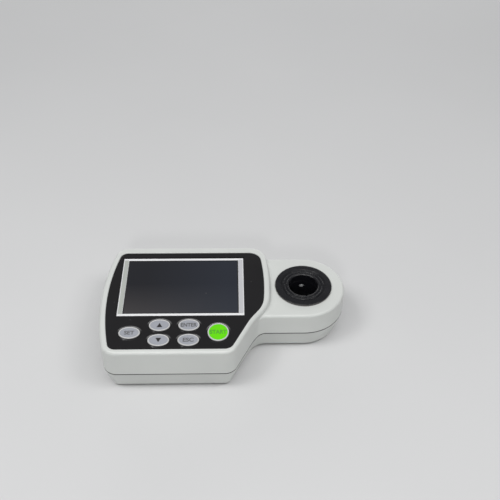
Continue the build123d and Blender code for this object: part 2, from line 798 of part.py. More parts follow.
with BuildPart() as display_backlight:
    with BuildSketch(Plane.XY.offset(tray_z)):
        with Locations((display_x, display_y)):
            Rectangle(inner_width - 2 * fit_gap, inner_depth - 2 * fit_gap)
    extrude(amount=tray_thickness)
    with BuildSketch(Plane.XY.offset(tray_z)):
        with Locations((display_x, display_y)):
            Rectangle(inner_width - 2 * tray_rim, inner_depth - 2 * tray_rim)
    extrude(amount=tray_recess, mode=Mode.SUBTRACT)
display_backlight.part.label = "display_backlight"
export_step(display_backlight.part, "parts/display_backlight.step")

with BuildPart() as display_bracket:
    with BuildSketch(Plane.XY.offset(bracket_z)):
        with Locations((display_x, display_y)):
            Rectangle(display_width, display_depth)
            Rectangle(bracket_width, display_depth / 2 + bracket_margin)
            Rectangle(
                view_width - 2 * bracket_window_side, view_depth - 2 * bracket_window_end, mode=Mode.SUBTRACT
            )
            Rectangle(bracket_rib_width, view_depth)
    extrude(amount=bracket_thickness)
    with BuildSketch(Plane.XY.offset(bracket_z)):
        for side in (-1, 1):
            with Locations((display_x + side * ear_x, display_y)):
                Rectangle(bracket_margin, display_depth / 2 + bracket_margin)
    extrude(amount=deck_z - bracket_z)
    with BuildSketch(Plane.XY.offset(bracket_z)):
        with Locations(*bracket_ears):
            Circle(small_screw_radius + 3 * screw_hole_gap)
    extrude(amount=deck_z - bracket_z, mode=Mode.SUBTRACT)
display_bracket.part.label = "display_bracket"
export_step(display_bracket.part, "parts/display_bracket.step")

# Black foam that fills the gap between the display and the opening round it.
with BuildPart() as display_gasket:
    with BuildSketch(Plane.XY.offset(fascia_top_z - gasket_drop)):
        with Locations((display_x, display_y)):
            Rectangle(
                display_width + 2 * (display_gap - fit_gap), display_depth + 2 * (display_gap - fit_gap)
            )
            Rectangle(display_width + 2 * fit_gap, display_depth + 2 * fit_gap, mode=Mode.SUBTRACT)
    extrude(amount=-gasket_depth)
display_gasket.part.label = "display_gasket"
export_step(display_gasket.part, "parts/display_gasket.step")

# ---------------------------------------------------------------- keys: rimmed cap, face and plunger
for name, place in key_places.items():
    proud = start_key_proud if name == "start" else key_proud
    key_top_z = fascia_top_z + proud
    face_top_z = key_top_z - key_face_recess
    with BuildPart() as key_cap:
        with BuildSketch(Plane.XY.offset(key_flange_z)):
            with Locations(place):
                Ellipse(*key_oval(name))
        extrude(amount=key_top_z - key_flange_z)
        with BuildSketch(Plane.XY.offset(key_top_z)):
            with Locations(place):
                Ellipse(*key_oval(name, -key_rim_width))
        extrude(amount=-(key_face_recess + key_face_thickness), mode=Mode.SUBTRACT)
        fillet(key_cap.edges().group_by(Axis.Z)[-1], key_edge_radius)
        with BuildSketch(Plane.XY.offset(key_flange_z)):
            with Locations(place):
                Ellipse(*key_oval(name, key_flange_width))
        extrude(amount=key_flange_thickness)
        with BuildSketch(Plane.XY.offset(key_boss_z)):
            with Locations(place):
                Circle(key_boss_radius)
        extrude(amount=key_boss_depth)
    key_cap.part.label = f"key_{name}"
    export_step(key_cap.part, f"parts/key_{name}.step")

    with BuildPart() as key_face:
        with BuildSketch(Plane.XY.offset(face_top_z)):
            with Locations(place):
                Ellipse(*key_oval(name, -key_rim_width - key_face_gap))
        extrude(amount=-key_face_thickness)
    key_face.part.label = f"key_face_{name}"
    export_step(key_face.part, f"parts/key_face_{name}.step")

    with BuildPart() as plunger:
        with BuildSketch(Plane.XY.offset(plunger_z)):
            with Locations(place):
                Circle(plunger_radius)
        extrude(amount=key_boss_z - plunger_z)
    plunger.part.label = f"plunger_{name}"
    export_step(plunger.part, f"parts/plunger_{name}.step")

with BuildPart() as key_switches:
    with BuildSketch(Plane.XY.offset(board_top_z)):
        with Locations(*key_places.values()):
            Rectangle(switch_size, switch_size)
    extrude(amount=switch_height)
    chamfer(key_switches.edges().filter_by(Axis.Z), switch_corner)
    with BuildSketch(Plane.XY.offset(board_top_z + switch_floor)):
        with Locations(*key_places.values()):
            Circle(plunger_radius + plunger_gap)
    extrude(amount=switch_height - switch_floor, mode=Mode.SUBTRACT)
key_switches.part.label = "key_switches"
export_step(key_switches.part, "parts/key_switches.step")

# ---------------------------------------------------------------- main board
with BuildPart() as main_board:
    with BuildSketch(Plane.XY.offset(board_z)):
        with Locations(((board_left_x + board_right_x) / 2, (board_front_y + board_rear_y) / 2)):
            RectangleRounded(
                board_right_x - board_left_x, board_rear_y - board_front_y, board_corner_radius
            )
        with Locations(*board_places):
            Circle(small_screw_radius + 3 * screw_hole_gap, mode=Mode.SUBTRACT)
    extrude(amount=board_thickness)
main_board.part.label = "main_board"
export_step(main_board.part, "parts/main_board.step")

# Chips and connectors soldered to the board's upper face: place from its right edge and from the
# instrument's middle, then width, depth and height.
chips = (
    (-30.0, 18.0, 14.0, 14.0, 1.4),
    (-8.0, 22.0, 9.0, 7.0, 1.2),
    (-52.0, 20.0, 20.0, 6.0, 2.4),
    (-14.0, 2.0, 6.0, 10.0, 1.6),
    (-60.0, 2.0, 8.0, 8.0, 1.2),
)
with BuildPart() as board_parts:
    for offset_x, offset_y, size_x, size_y, size_z in chips:
        with BuildSketch(Plane.XY.offset(board_top_z)):
            with Locations((board_right_x + offset_x, offset_y)):
                Rectangle(size_x, size_y)
        extrude(amount=size_z)
board_parts.part.label = "board_parts"
export_step(board_parts.part, "parts/board_parts.step")

# ---------------------------------------------------------------- well collar and its ring nut
collar_bore_radius = vial_bore_radius + collar_bore_gap
neck_bottom_z = lobe_top_z - collar_neck_depth
shelf_z = collar_top_z - collar_shelf_drop
bead_z = shelf_z + collar_bead_height
groove_z = bead_z - collar_groove_depth
ridge_r = collar_bead_radius - collar_ridge_width
lip_r = collar_bore_radius + collar_lip_width
notch_x = collar_bore_radius * sin(radians(collar_notch_angle))
notch_y = -collar_bore_radius * cos(radians(collar_notch_angle))
collar_corners = (
    (collar_radius, collar_top_z, collar_edge_radius),
    (collar_bead_radius, bead_z, collar_ridge_edge_radius),
    (ridge_r, bead_z, collar_ridge_edge_radius),
    (lip_r, bead_z, collar_ridge_edge_radius),
    (collar_bore_radius, bead_z, collar_mouth_radius),
)
with BuildPart() as well_collar:
    with BuildSketch(Plane.XZ) as collar_profile:
        with BuildLine():
            Polyline(
                (collar_bore_radius, neck_bottom_z),
                (collar_neck_radius, neck_bottom_z),
                (collar_neck_radius, lobe_top_z),
                (collar_radius, lobe_top_z),
                (collar_radius, collar_top_z),
                (collar_shelf_radius + collar_shelf_drop, collar_top_z),
                (collar_shelf_radius, shelf_z),
                (collar_bead_radius + collar_bead_flare, shelf_z),
                (collar_bead_radius, bead_z),
                (ridge_r, bead_z),
                (ridge_r - collar_groove_flare, groove_z),
                (lip_r + collar_groove_flare, groove_z),
                (lip_r, bead_z),
                (collar_bore_radius, bead_z),
                close=True,
            )
        make_face()
        for corner_r, corner_z, corner_radius in collar_corners:
            fillet(collar_profile.vertices().sort_by_distance((corner_r, corner_z, 0))[0], corner_radius)
    revolve(axis=Axis.Z)
    # a small notch at the front of the mouth
    with BuildSketch(Plane.XY.offset(bead_z - 2 * collar_mouth_radius)):
        with Locations((notch_x, notch_y)):
            Circle(collar_notch_radius)
    extrude(amount=2 * collar_mouth_radius, mode=Mode.SUBTRACT)
collar_part = Pos(well_x, well_y, 0) * well_collar.part
collar_part.label = "well_collar"
export_step(collar_part, "parts/well_collar.step")

with BuildPart() as collar_ring_nut:
    with BuildSketch(Plane.XY.offset(lobe_roof_z - ring_nut_height)):
        with Locations((well_x, well_y)):
            Circle(ring_nut_radius)
            Circle(collar_neck_radius + thread_gap, mode=Mode.SUBTRACT)
            with PolarLocations(ring_nut_radius, ring_nut_slots):
                Rectangle(ring_nut_slot_size, ring_nut_slot_size, mode=Mode.SUBTRACT)
    extrude(amount=ring_nut_height)
collar_ring_nut.part.label = "collar_ring_nut"
export_step(collar_ring_nut.part, "parts/collar_ring_nut.step")

# ---------------------------------------------------------------- sample chamber and its optics
chamber_radius = vial_bore_radius + chamber_wall
chamber_top_z = neck_bottom_z - chamber_collar_gap
light_z = well_floor_z + light_path_height
groove_depth = 2 * oring_section_radius - chamber_collar_gap
groove_width = 2 * oring_section_radius + 2 * fit_gap
lens_y = vial_bore_radius + lens_set_back
sides = {"light": 1, "detector": -1}

with BuildPart() as sample_chamber:
    with BuildSketch(Plane.XY.offset(chamber_z)):
        with Locations((well_x, well_y)):
            Circle(chamber_radius)
    extrude(amount=chamber_top_z - chamber_z)
    with BuildSketch(Plane.XY.offset(chamber_z)):
        for place in chamber_places:
            with Locations(place):
                Circle(boss_radius)
            with Locations(((place[0] + well_x) / 2, (place[1] + well_y) / 2)):
                Circle(chamber_web_radius)
    extrude(amount=chamber_flange_height)
    with BuildSketch(Plane.XY.offset(light_z - pad_size / 2)):
        with Locations((well_x, well_y)):
            Rectangle(pad_size, 2 * pad_reach)
    extrude(amount=pad_size)
    with BuildSketch(Plane.XY.offset(well_floor_z)):
        with Locations((well_x, well_y)):
            Circle(vial_bore_radius)
    extrude(amount=chamber_top_z - well_floor_z, mode=Mode.SUBTRACT)
    with BuildSketch(Plane.XZ.offset(-well_y)):
        with Locations((well_x, light_z)):
            Circle(light_path_radius)
    extrude(amount=pad_reach, both=True, mode=Mode.SUBTRACT)
    with BuildSketch(Plane.XZ.offset(-well_y)):
        with Locations((well_x, light_z)):
            Circle(lens_radius + fit_gap)
    extrude(amount=lens_y + lens_length, both=True, mode=Mode.SUBTRACT)
    with BuildSketch(Plane.XY.offset(chamber_top_z)):
        with Locations((well_x, well_y)):
            Circle(oring_circle_radius + groove_width / 2)
            Circle(oring_circle_radius - groove_width / 2, mode=Mode.SUBTRACT)
    extrude(amount=-groove_depth, mode=Mode.SUBTRACT)
    with BuildSketch(Plane.XY.offset(chamber_z)):
        with Locations(*chamber_places):
            Circle(screw_radius + 3 * screw_hole_gap)
    extrude(amount=chamber_flange_height, mode=Mode.SUBTRACT)
    with BuildSketch(Plane.XY.offset(well_floor_z)):
        with Locations((well_x, well_y)):
            Circle(window_radius + fit_gap)
    extrude(amount=-window_thickness, mode=Mode.SUBTRACT)
sample_chamber.part.label = "sample_chamber"
export_step(sample_chamber.part, "parts/sample_chamber.step")

with BuildPart() as chamber_seal:
    with BuildSketch(Plane.XZ):
        with Locations((oring_circle_radius, chamber_top_z - groove_depth + oring_section_radius)):
            Circle(oring_section_radius)
    revolve(axis=Axis.Z)
seal_part = Pos(well_x, well_y, 0) * chamber_seal.part
seal_part.label = "chamber_seal"
export_step(seal_part, "parts/chamber_seal.step")

with BuildPart() as floor_window:
    with BuildSketch(Plane.XY.offset(well_floor_z - window_thickness)):
        with Locations((well_x, well_y)):
            Circle(window_radius)
    extrude(amount=window_thickness)
floor_window.part.label = "floor_window"
export_step(floor_window.part, "parts/floor_window.step")

for name, side in sides.items():
    with BuildPart() as lens:
        with BuildSketch(Plane.XZ.offset(-well_y - side * lens_y)):
            with Locations((well_x, light_z)):
                Circle(lens_radius)
        extrude(amount=-side * lens_length)
        lens_edges = lens.edges().group_by(Axis.Y)
        fillet(lens_edges[0] if side > 0 else lens_edges[-1], lens_dome_radius)
    lens.part.label = f"{name}_lens"
    export_step(lens.part, f"parts/{name}_lens.step")

    holder_y = well_y + side * (pad_reach + holder_length / 2)
    with BuildPart() as holder:
        with BuildSketch(Plane.XY.offset(light_z - holder_size / 2)):
            with Locations((well_x, holder_y)):
                Rectangle(holder_size, holder_length)
        extrude(amount=holder_size)
        with BuildSketch(Plane.XZ.offset(-well_y - side * pad_reach)):
            with Locations((well_x, light_z)):
                Circle(led_radius + fit_gap)
        extrude(amount=-side * holder_length, mode=Mode.SUBTRACT)
    holder.part.label = f"{name}_holder"
    export_step(holder.part, f"parts/{name}_holder.step")

    with BuildPart() as emitter:
        with BuildSketch(Plane.XZ.offset(-well_y - side * (pad_reach + holder_length))):
            with Locations((well_x, light_z)):
                Circle(led_radius)
        extrude(amount=side * led_length)
        tip_edges = emitter.edges().group_by(Axis.Y)
        fillet(tip_edges[0] if side > 0 else tip_edges[-1], led_dome_radius)
    emitter_name = "light_emitter" if side > 0 else "photodiode"
    emitter.part.label = emitter_name
    export_step(emitter.part, f"parts/{emitter_name}.step")

    with BuildPart() as optics_board:
        with BuildSketch(Plane.XZ.offset(-well_y - side * (pad_reach + holder_length))):
            with Locations((well_x, light_z)):
                Rectangle(optics_board_width, optics_board_height)
        extrude(amount=-side * board_thickness)
    optics_board.part.label = f"{name}_board"
    export_step(optics_board.part, f"parts/{name}_board.step")

# ---------------------------------------------------------------- rear wall fittings
with BuildPart() as usb_socket:
    with BuildSketch(Plane.XZ.offset(-usb_y)):
        with Locations((usb_x, board_top_z + usb_height / 2)):
            RectangleRounded(usb_width, usb_height, usb_corner_radius)
    extrude(amount=usb_depth)
    with BuildSketch(Plane.XZ.offset(-usb_y)):
        with Locations((usb_x, board_top_z + usb_height / 2)):
            RectangleRounded(usb_width - 2 * usb_sheet, usb_height - 2 * usb_sheet, usb_sheet)
            Rectangle(usb_width - 2 * usb_tongue_side, usb_tongue_thickness, mode=Mode.SUBTRACT)
    extrude(amount=usb_depth - 2 * usb_sheet, mode=Mode.SUBTRACT)
usb_socket.part.label = "usb_socket"
export_step(usb_socket.part, "parts/usb_socket.step")

rocker_pivot_y = rocker_frame_y - rocker_pivot_depth
pivot_length = rocker_height + 2 * rocker_pivot_reach
with BuildPart() as rocker_frame:
    with BuildSketch(Plane.XZ.offset(-rocker_frame_y - rocker_frame_thickness)):
        with Locations((rocker_x, rocker_z)):
            RectangleRounded(rocker_frame_width, rocker_frame_height, rocker_frame_thickness)
    extrude(amount=rocker_frame_thickness)
    with BuildSketch(Plane.XZ.offset(-rocker_frame_y)):
        with Locations((rocker_x, rocker_z)):
            Rectangle(
                rocker_frame_width - 2 * rocker_frame_wall, rocker_frame_height - 2 * rocker_frame_wall
            )
    extrude(amount=rocker_body_depth)
    with BuildSketch(Plane.XZ.offset(-rocker_frame_y - rocker_frame_thickness)):
        with Locations((rocker_x, rocker_z)):
            Rectangle(rocker_width + 2 * rocker_gap, rocker_height + 2 * fit_gap)
    extrude(amount=rocker_body_depth + rocker_frame_thickness - rocker_back_wall, mode=Mode.SUBTRACT)
    # sockets for the rocker's pivot pins
    with BuildSketch(Plane.XY.offset(rocker_z - pivot_length / 2 - rocker_pivot_gap)):
        with Locations((rocker_x, rocker_pivot_y)):
            Circle(rocker_pivot_radius + rocker_pivot_gap)
    extrude(amount=pivot_length + 2 * rocker_pivot_gap, mode=Mode.SUBTRACT)
rocker_frame.part.label = "rocker_frame"
export_step(rocker_frame.part, "parts/rocker_frame.step")

# The rocker is drawn level about its pivot, then tilted to its off position.
back_x = rocker_width / 2 - rocker_back_inset
end_x = rocker_width / 2 - rocker_end_inset
with BuildPart() as rocker_level:
    with BuildSketch(Plane.XY.offset(-rocker_height / 2)):
        with BuildLine():
            Polyline(
                (-back_x, -rocker_back),
                (back_x, -rocker_back),
                (end_x, rocker_end_rise),
                (0, rocker_middle_rise),
                (-end_x, rocker_end_rise),
                close=True,
            )
        make_face()
    extrude(amount=rocker_height)
    with BuildSketch(Plane.XY.offset(-pivot_length / 2)):
        Circle(rocker_pivot_radius)
    extrude(amount=pivot_length)
rocker_button = Pos(rocker_x, rocker_pivot_y, rocker_z) * Rot(0, 0, rocker_tilt) * rocker_level.part
rocker_button.label = "rocker_button"
export_step(rocker_button, "parts/rocker_button.step")


# ---------------------------------------------------------------- screws
def screw_set(label, screws):
    """One node holding a set of identical screws, each its own solid."""
    group = Part() + screws
    group.label = label
    export_step(group, f"parts/{label}.step")


screw_set(
    "housing_screws",
    [
        screw_solid(
            (x, y),
            base_z + counterbore_depth,
            screw_length,
            1,
            screw_radius,
            screw_head_radius,
            screw_head_height,
        )
        for x, y, side in housing_places.values()
    ],
)
screw_set(
    "hatch_screw",
    [
        screw_solid(
            hatch_screw_place,
            base_z,
            hatch_screw_length + hatch_thickness,
            1,
            screw_radius,
            screw_head_radius,
            hatch_screw_head_height,
        )
    ],
)
screw_set(
    "chamber_screws",
    [
        screw_solid(
            place,
            chamber_z + chamber_flange_height,
            chamber_screw_length,
            -1,
            screw_radius,
            screw_head_radius,
            screw_head_height,
        )
        for place in chamber_places
    ],
)
screw_set(
    "board_screws",
    [
        screw_solid(
            place,
            board_z,
            board_thickness + small_screw_length - small_screw_end_gap,
            1,
            small_screw_radius,
            small_screw_head_radius,
            small_screw_head_height,
        )
        for place in board_places
    ],
)
screw_set(
    "bracket_screws",
    [
        screw_solid(
            place,
            bracket_z,
            bracket_screw_length,
            1,
            small_screw_radius,
            small_screw_head_radius,
            small_screw_head_height,
        )
        for place in bracket_ears
    ],
)
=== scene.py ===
import json
import math

import bmesh
import bpy
from mathutils import Matrix, Vector


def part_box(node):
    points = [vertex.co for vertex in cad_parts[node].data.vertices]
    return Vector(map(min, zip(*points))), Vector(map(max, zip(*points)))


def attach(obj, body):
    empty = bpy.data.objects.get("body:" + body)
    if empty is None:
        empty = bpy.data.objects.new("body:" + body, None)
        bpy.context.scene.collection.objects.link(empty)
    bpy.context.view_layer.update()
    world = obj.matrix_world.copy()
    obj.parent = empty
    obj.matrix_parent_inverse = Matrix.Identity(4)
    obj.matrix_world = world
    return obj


# The refractometer's looks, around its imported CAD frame.
# Everything is in metres, in the frame's own axes.

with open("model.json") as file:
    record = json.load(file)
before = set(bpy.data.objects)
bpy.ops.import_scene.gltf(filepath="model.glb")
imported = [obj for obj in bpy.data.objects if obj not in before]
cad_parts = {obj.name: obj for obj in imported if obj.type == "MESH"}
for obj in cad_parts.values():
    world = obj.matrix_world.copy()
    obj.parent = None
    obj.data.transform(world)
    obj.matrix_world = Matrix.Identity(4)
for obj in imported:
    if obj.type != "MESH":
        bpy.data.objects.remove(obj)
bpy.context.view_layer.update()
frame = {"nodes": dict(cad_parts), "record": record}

MM = 0.001
SAME_POINT = 0.001 * MM
SAME_LEVEL = 0.02 * MM
COLLAR_PROUD = 1.8 * MM


# ---------------------------------------------------------------- node helpers
def new_material(name):
    """A material with an empty node tree, its Principled shader and its object coordinates."""
    material = bpy.data.materials.new(name)
    material.use_nodes = True
    nodes = material.node_tree.nodes
    nodes.clear()
    output = nodes.new("ShaderNodeOutputMaterial")
    shader = nodes.new("ShaderNodeBsdfPrincipled")
    material.node_tree.links.new(shader.outputs["BSDF"], output.inputs["Surface"])
    coordinates = nodes.new("ShaderNodeTexCoord")
    return material, shader, coordinates.outputs["Object"]


def link(material, source, target):
    """Joins one node's output to another node's input."""
    material.node_tree.links.new(source, target)


def noise(material, place, scale, detail=3.0, roughness=0.5):
    """A noise pattern; scale is in features per metre."""
    node = material.node_tree.nodes.new("ShaderNodeTexNoise")
    node.inputs["Scale"].default_value = scale
    node.inputs["Detail"].default_value = detail
    node.inputs["Roughness"].default_value = roughness
    link(material, place, node.inputs["Vector"])
    return node.outputs["Fac"]


def ramp(material, source, stops):
    """A colour ramp with (position, colour) stops."""
    node = material.node_tree.nodes.new("ShaderNodeValToRGB")
    elements = node.color_ramp.elements
    while len(elements) < len(stops):
        elements.new(0.5)
    for element, (position, colour) in zip(elements, stops):
        element.position = position
        element.color = (*colour, 1.0)
    link(material, source, node.inputs["Fac"])
    return node.outputs["Color"]


def span(material, source, low, high, from_low=0.3, from_high=0.7):
    """Maps a pattern's usual range onto low to high."""
    node = material.node_tree.nodes.new("ShaderNodeMapRange")
    node.inputs["From Min"].default_value = from_low
    node.inputs["From Max"].default_value = from_high
    node.inputs["To Min"].default_value = low
    node.inputs["To Max"].default_value = high
    link(material, source, node.inputs["Value"])
    return node.outputs["Result"]


def product(material, first, second):
    """One pattern multiplied by another."""
    node = material.node_tree.nodes.new("ShaderNodeMath")
    node.operation = "MULTIPLY"
    link(material, first, node.inputs[0])
    link(material, second, node.inputs[1])
    return node.outputs["Value"]


def mix(material, factor, first, second):
    """The first colour where factor is 0 and the second where it is 1."""
    node = material.node_tree.nodes.new("ShaderNodeMix")
    node.data_type = "RGBA"
    link(material, factor, node.inputs["Factor"])
    link(material, first, node.inputs["A"])
    link(material, second, node.inputs["B"])
    return node.outputs["Result"]


def bump(material, shader, height, strength, distance):
    """Surface relief from a pattern; distance is its depth."""
    node = material.node_tree.nodes.new("ShaderNodeBump")
    node.inputs["Strength"].default_value = strength
    node.inputs["Distance"].default_value = distance
    link(material, height, node.inputs["Height"])
    link(material, node.outputs["Normal"], shader.inputs["Normal"])


# ---------------------------------------------------------------- materials
def moulded_plastic(
    name, colour, roughness, grain=1500.0, grain_depth=0.012 * MM, variation=0.04, shine=0.5
):
    """Moulded plastic: spark-textured grain, faint colour drift and uneven gloss."""
    material, shader, place = new_material(name)
    light = tuple(min(1.0, channel * (1 + variation)) for channel in colour)
    dark = tuple(channel * (1 - variation) for channel in colour)
    drift = noise(material, place, scale=28.0, detail=4.0)
    tone = ramp(material, drift, ((0.35, dark), (0.65, light)))
    link(material, tone, shader.inputs["Base Color"])
    uneven = noise(material, place, scale=90.0)
    gloss = span(material, uneven, low=roughness - 0.05, high=roughness + 0.06)
    link(material, gloss, shader.inputs["Roughness"])
    shader.inputs["Specular IOR Level"].default_value = shine
    texture = noise(material, place, scale=grain, detail=2.0, roughness=0.6)
    bump(material, shader, texture, strength=0.3, distance=grain_depth)
    return material


def dust_mask(material, place, share):
    """1 on a few tiny round specks, 0 elsewhere; share is how many of the cells hold one."""
    cells = material.node_tree.nodes.new("ShaderNodeTexVoronoi")
    cells.voronoi_dimensions = "2D"
    cells.inputs["Scale"].default_value = 130.0
    link(material, place, cells.inputs["Vector"])
    channels = material.node_tree.nodes.new("ShaderNodeSeparateColor")
    link(material, cells.outputs["Color"], channels.inputs["Color"])
    threshold = 1.0 - share
    chosen = span(
        material, channels.outputs["Red"],
        low=0.0, high=1.0, from_low=threshold, from_high=threshold + 0.001,
    )
    speck = span(
        material, cells.outputs["Distance"], low=1.0, high=0.0, from_low=0.02, from_high=0.045
    )
    return product(material, chosen, speck)


def gloss_panel(name, colour, roughness, dust, dust_share=0.05):
    """A glossy printed panel with faint smears, fine haze and specks of dust."""
    material, shader, place = new_material(name)
    dark = tuple(channel * 0.92 for channel in colour)
    light = tuple(channel * 1.1 for channel in colour)
    smears = noise(material, place, scale=22.0, detail=4.0, roughness=0.6)
    tone = ramp(material, smears, ((0.3, dark), (0.7, light)))
    pale = ramp(material, smears, ((0.0, dust), (1.0, dust)))
    dusty = mix(material, dust_mask(material, place, dust_share), tone, pale)
    link(material, dusty, shader.inputs["Base Color"])
    gloss = span(material, smears, low=roughness - 0.03, high=roughness + 0.05)
    link(material, gloss, shader.inputs["Roughness"])
    haze = noise(material, place, scale=700.0, detail=2.0)
    bump(material, shader, haze, strength=0.1, distance=0.006 * MM)
    return material


def screen_glass(name, low, high):
    """Dark display glass with a painted reflection: bluer towards its right, paler and browner at
    its near left corner.
    """
    material, shader, place = new_material(name)
    axes = material.node_tree.nodes.new("ShaderNodeSeparateXYZ")
    link(material, place, axes.inputs["Vector"])
    across = span(material, axes.outputs["X"], 0.0, 1.0, from_low=low.x, from_high=high.x)
    near = span(material, axes.outputs["Y"], 1.0, 0.0, from_low=low.y, from_high=high.y)
    # Painted reflection: the slate tone grows bluer towards the right, and the paler brown laid in
    # towards the near edge is a painted reflection as well.
    slate = ramp(material, across, ((0.2, (0.013, 0.0135, 0.017)), (0.85, (0.019, 0.022, 0.031))))
    reflected_brown = ramp(material, across, ((0.0, (0.070, 0.063, 0.062)), (0.9, (0.034, 0.038, 0.048))))
    film = noise(material, place, scale=18.0)
    reflection_share = product(
        material,
        span(material, near, low=0.0, high=1.0, from_low=0.45, from_high=1.25),
        span(material, film, low=0.85, high=1.0),
    )
    tone = mix(material, reflection_share, slate, reflected_brown)
    pale = ramp(material, film, ((0.0, (0.16, 0.15, 0.13)), (1.0, (0.2, 0.19, 0.17))))
    dusty = mix(material, dust_mask(material, place, share=0.03), tone, pale)
    link(material, dusty, shader.inputs["Base Color"])
    link(material, span(material, film, low=0.1, high=0.15), shader.inputs["Roughness"])
    return material


def brushed_metal(name, colour, roughness, along="X", metallic=1.0):
    """Metal with fine drawn lines along one axis."""
    material, shader, place = new_material(name)
    mapping = material.node_tree.nodes.new("ShaderNodeMapping")
    stretch = (0.02, 1.0, 1.0) if along == "X" else (1.0, 0.02, 1.0)
    mapping.inputs["Scale"].default_value = stretch
    link(material, place, mapping.inputs["Vector"])
    lines = noise(material, mapping.outputs["Vector"], scale=2600.0)
    dark = tuple(channel * 0.93 for channel in colour)
    tone = ramp(material, lines, ((0.3, dark), (0.7, colour)))
    link(material, tone, shader.inputs["Base Color"])
    gloss = span(material, lines, low=roughness - 0.06, high=roughness + 0.08)
    link(material, gloss, shader.inputs["Roughness"])
    shader.inputs["Metallic"].default_value = metallic
    bump(material, shader, lines, strength=0.2, distance=0.006 * MM)
    return material


def circuit_board(name):
    """Green solder mask over faint tracks."""
    material, shader, place = new_material(name)
    bricks = material.node_tree.nodes.new("ShaderNodeTexBrick")
    bricks.inputs["Scale"].default_value = 160.0
    bricks.inputs["Mortar Size"].default_value = 0.06
    bricks.inputs["Color1"].default_value = (0.012, 0.10, 0.035, 1)
    bricks.inputs["Color2"].default_value = (0.010, 0.085, 0.03, 1)
    bricks.inputs["Mortar"].default_value = (0.03, 0.19, 0.07, 1)
    link(material, place, bricks.inputs["Vector"])
    link(material, bricks.outputs["Color"], shader.inputs["Base Color"])
    gloss = span(material, noise(material, place, scale=200.0), low=0.28, high=0.4)
    link(material, gloss, shader.inputs["Roughness"])
    bump(material, shader, bricks.outputs["Fac"], strength=0.3, distance=0.03 * MM)
    return material


def clear_window(name):
    """Clear glass with faint haze."""
    material, shader, place = new_material(name)
    cloud = noise(material, place, scale=120.0)
    tint = ramp(material, cloud, ((0.3, (0.92, 0.95, 0.96)), (0.7, (0.97, 0.98, 0.99))))
    link(material, tint, shader.inputs["Base Color"])
    gloss = span(material, noise(material, place, scale=300.0), low=0.03, high=0.09)
    link(material, gloss, shader.inputs["Roughness"])
    shader.inputs["Transmission Weight"].default_value = 0.6
    shader.inputs["IOR"].default_value = 1.75
    return material


HOUSING = (0.60, 0.615, 0.592)
SLOT_MATERIALS = {
    "housing_grey": moulded_plastic("housing_grey_abs", HOUSING, 0.33, variation=0.015),
    "fascia_black": gloss_panel(
        "fascia_gloss_black", (0.009, 0.0083, 0.009), 0.16, dust=(0.09, 0.09, 0.09)
    ),
    "display_metal": brushed_metal(
        "display_frame_metal", (0.86, 0.86, 0.87), 0.34, metallic=0.1
    ),
    "display_glass": screen_glass("display_dark_glass", *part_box("display_panel")),
    "display_white": moulded_plastic("light_guide_white", (0.78, 0.78, 0.76), 0.5),
    "steel": brushed_metal("zinc_plated_steel", (0.62, 0.62, 0.60), 0.34),
    "key_silver": moulded_plastic(
        "key_rim_silver", (0.56, 0.56, 0.555), 0.3,
        grain=900.0, grain_depth=0.006 * MM, variation=0.03,
    ),
    "key_grey": moulded_plastic("key_face_grey", (0.315, 0.327, 0.362), 0.45, variation=0.02),
    "key_green": moulded_plastic(
        "key_face_green", (0.125, 0.66, 0.002), 0.4, variation=0.02, shine=0.2
    ),
    "collar_black": moulded_plastic(
        "collar_satin_black", (0.006, 0.006, 0.0078), 0.27, grain=2200.0, grain_depth=0.006 * MM
    ),
    "board_green": circuit_board("solder_mask_board"),
    "component_black": moulded_plastic("component_black_resin", (0.02, 0.02, 0.021), 0.5),
    "clear_window": clear_window("optical_window_glass"),
    "rubber_black": moulded_plastic(
        "foot_black_rubber", (0.018, 0.018, 0.018), 0.8, grain=900.0, grain_depth=0.03 * MM
    ),
    "battery_wrap": gloss_panel(
        "cell_shrink_wrap", (0.02, 0.05, 0.16), 0.3, dust=(0.1, 0.15, 0.3)
    ),
}
SLOT_OF = {row["node"]: row["material_slot"] for row in frame["record"]["subparts"]}
for node_name, node in frame["nodes"].items():
    for material_slot in node.material_slots:
        material_slot.material = SLOT_MATERIALS[SLOT_OF[node_name]]

INK_GREY = moulded_plastic("ink_grey", (0.095, 0.095, 0.097), 0.5, variation=0.1)
INK_BLACK = moulded_plastic("ink_black", (0.014, 0.013, 0.014), 0.45, variation=0.1)
INK_GREEN = moulded_plastic("ink_green", (0.075, 0.34, 0.02), 0.45, variation=0.08)
# One tape in two tones: the left copy is painted darker as shade and the right copy lighter as
# light.
TAPE_LEFT_SHADED = brushed_metal(
    "frame_tape_left", (0.43, 0.45, 0.42), 0.55, along="Y", metallic=0.1
)
TAPE_RIGHT_LIT = brushed_metal(
    "frame_tape_right", (0.53, 0.53, 0.55), 0.5, along="Y", metallic=0.1
)
# A lighter brownish grey than the collar's black: painted sheen on the collar's outer wall.
COLLAR_SHEEN_BAND = moulded_plastic("collar_painted_sheen", (0.085, 0.078, 0.074), 0.35, variation=0.06)
SCREEN_MASK = moulded_plastic("screen_black_mask", (0.006, 0.006, 0.006), 0.5)


# ---------------------------------------------------------------- mesh helpers
SHARP_ANGLE = math.radians(35)
TOP_TOLERANCE = 0.0001 * MM


def in_scene(name, data):
    """A new object that holds the data, linked into the scene."""
    made = bpy.data.objects.new(name, data)
    bpy.context.scene.collection.objects.link(made)
    return made


def add_piece(name, mesh, material, body, smooth=False):
    """Puts a mesh in the scene as a piece that moves with one body."""
    for polygon in mesh.polygons:
        polygon.use_smooth = smooth
    if smooth:
        mesh.set_sharp_from_angle(angle=SHARP_ANGLE)
    mesh.materials.clear()
    mesh.materials.append(material)
    piece = in_scene(name, mesh)
    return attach(piece, body)


def finished_mesh(work, name):
    """The mesh that was being worked on, and the end of that work."""
    mesh = bpy.data.meshes.new(name)
    work.to_mesh(mesh)
    work.free()
    return mesh


